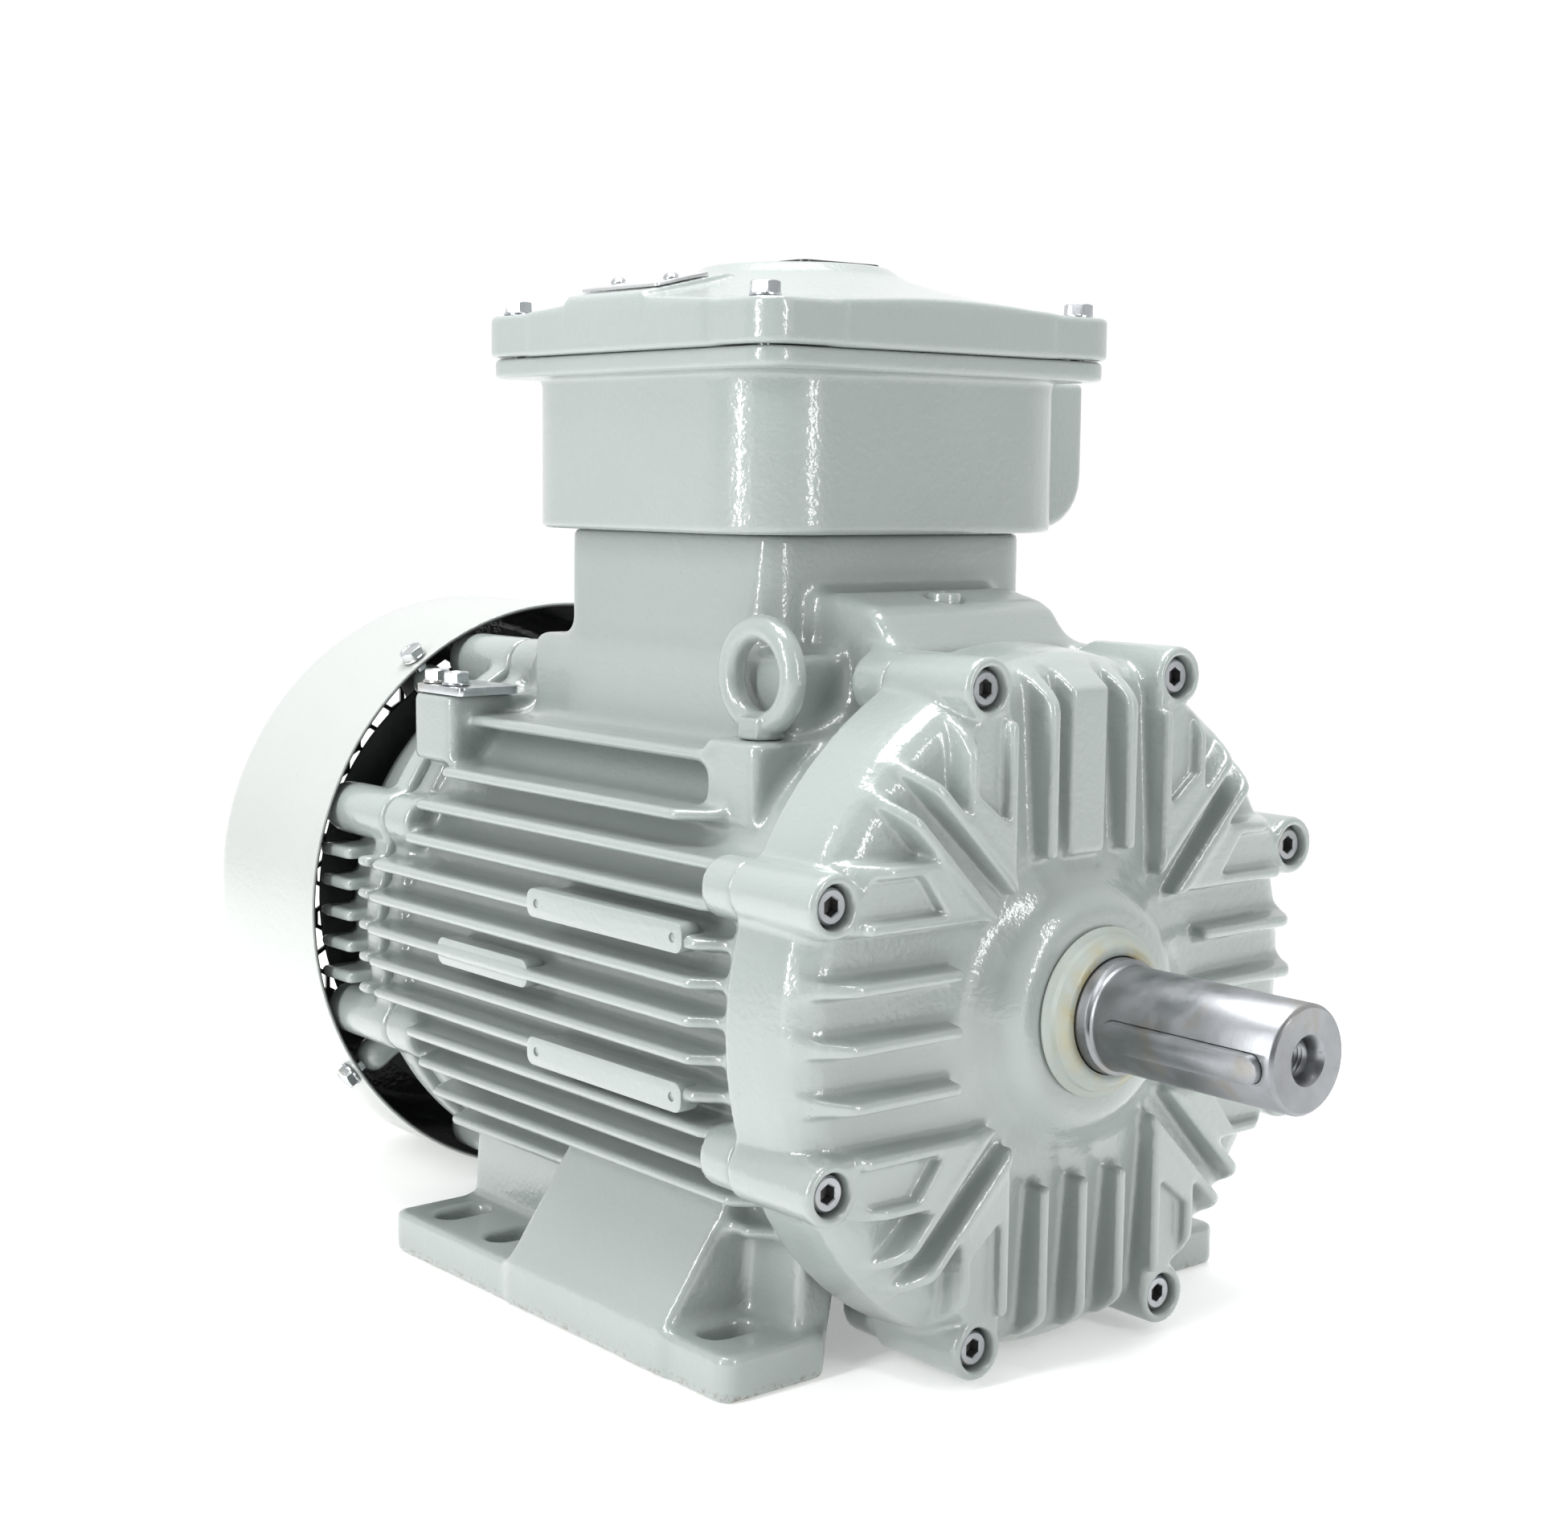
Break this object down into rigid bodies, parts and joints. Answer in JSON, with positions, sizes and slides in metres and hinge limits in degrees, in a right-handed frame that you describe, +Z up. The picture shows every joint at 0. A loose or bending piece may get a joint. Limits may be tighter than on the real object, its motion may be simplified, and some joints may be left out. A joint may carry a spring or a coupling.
{
  "type": "electric motor",
  "caption": "Foot-mounted, fan-cooled induction motor with a finned cast frame, ribbed end shields, domed terminal box, keyed shaft and honeycomb fan cowl.",
  "frame": {"origin": "on the surface the feet stand on, under the shaft axis, midway along the overall length", "axes": "+X along the shaft and out of the drive end, +Z up, +Y towards the cable-entry side of the terminal box"},
  "size_m": [0.525, 0.262, 0.405],
  "materials": {
    "grey_paint": "glossy light grey enamel over cast iron",
    "cowl_paint": "glossy pale grey enamel over sheet steel",
    "shaft_steel": "ground steel",
    "zinc_plate": "zinc-plated steel",
    "core_steel": "dark electrical and spring steel",
    "bearing_steel": "polished bearing steel",
    "rotor_metal": "steel laminations with cast aluminium rings",
    "copper_winding": "enamelled copper wire",
    "aluminium_plate": "bare sheet",
    "seal_rubber": "rubber painted over with the shield",
    "board_resin": "moulded resin",
    "fan_plastic": "moulded plastic"
  },
  "bodies": {
    "stator": {"frame": "grey_paint", "de_shield": "grey_paint", "nde_shield": "grey_paint", "de_shield_screw_1": "zinc_plate", "de_shield_screw_2": "zinc_plate", "de_shield_screw_3": "zinc_plate", "de_shield_screw_4": "zinc_plate", "de_shield_screw_5": "zinc_plate", "de_shield_screw_6": "zinc_plate", "de_shield_screw_7": "zinc_plate", "de_shield_screw_8": "zinc_plate", "nde_shield_screw_1": "zinc_plate", "nde_shield_screw_2": "zinc_plate", "nde_shield_screw_3": "zinc_plate", "nde_shield_screw_4": "zinc_plate", "nde_shield_screw_5": "zinc_plate", "nde_shield_screw_6": "zinc_plate", "nde_shield_screw_7": "zinc_plate", "nde_shield_screw_8": "zinc_plate", "eyebolt": "grey_paint", "earth_clamp": "zinc_plate", "earth_screw_1": "zinc_plate", "earth_screw_2": "zinc_plate", "nose_plug": "grey_paint", "terminal_box": "grey_paint", "terminal_box_lid": "grey_paint", "lid_bolt_1": "zinc_plate", "lid_bolt_2": "zinc_plate", "lid_bolt_3": "zinc_plate", "lid_bolt_4": "zinc_plate", "lid_plate": "aluminium_plate", "lid_plate_screw_1": "zinc_plate", "lid_plate_screw_2": "zinc_plate", "lid_top_plate": "aluminium_plate", "terminal_board": "board_resin", "entry_plug_1": "zinc_plate", "entry_plug_2": "zinc_plate", "stator_core": "core_steel", "stator_winding": "copper_winding", "bearing_de_outer": "bearing_steel", "bearing_nde_outer": "bearing_steel", "wave_spring": "core_steel", "fan_cowl": "cowl_paint", "cowl_screw_1": "zinc_plate", "cowl_screw_2": "zinc_plate", "cowl_screw_3": "zinc_plate", "cowl_screw_4": "zinc_plate"},
    "rotor": {"shaft": "shaft_steel", "shaft_key": "shaft_steel", "shaft_seal": "seal_rubber", "rotor_core": "rotor_metal", "bearing_de_inner": "bearing_steel", "bearing_nde_inner": "bearing_steel", "fan": "fan_plastic", "fan_ring": "core_steel"},
    "de_ball_set": {"bearing_de_cage": "bearing_steel"},
    "nde_ball_set": {"bearing_nde_cage": "bearing_steel"}
  },
  "joints": [
    {"name": "rotor_spin", "type": "hinge", "parent": "stator", "child": "rotor", "pos_m": [0, 0, 0.132], "axis": [1, 0, 0], "continuous": true},
    {"name": "de_ball_set_spin", "type": "hinge", "parent": "stator", "child": "de_ball_set", "pos_m": [0.1325, 0, 0.132], "axis": [1, 0, 0], "continuous": true},
    {"name": "nde_ball_set_spin", "type": "hinge", "parent": "stator", "child": "nde_ball_set", "pos_m": [-0.1575, 0, 0.132], "axis": [1, 0, 0], "continuous": true}
  ],
  "couplings": [
    {"joint": "de_ball_set_spin", "follows": "rotor_spin", "ratio": 0.4067},
    {"joint": "nde_ball_set_spin", "follows": "rotor_spin", "ratio": 0.4067}
  ]
}
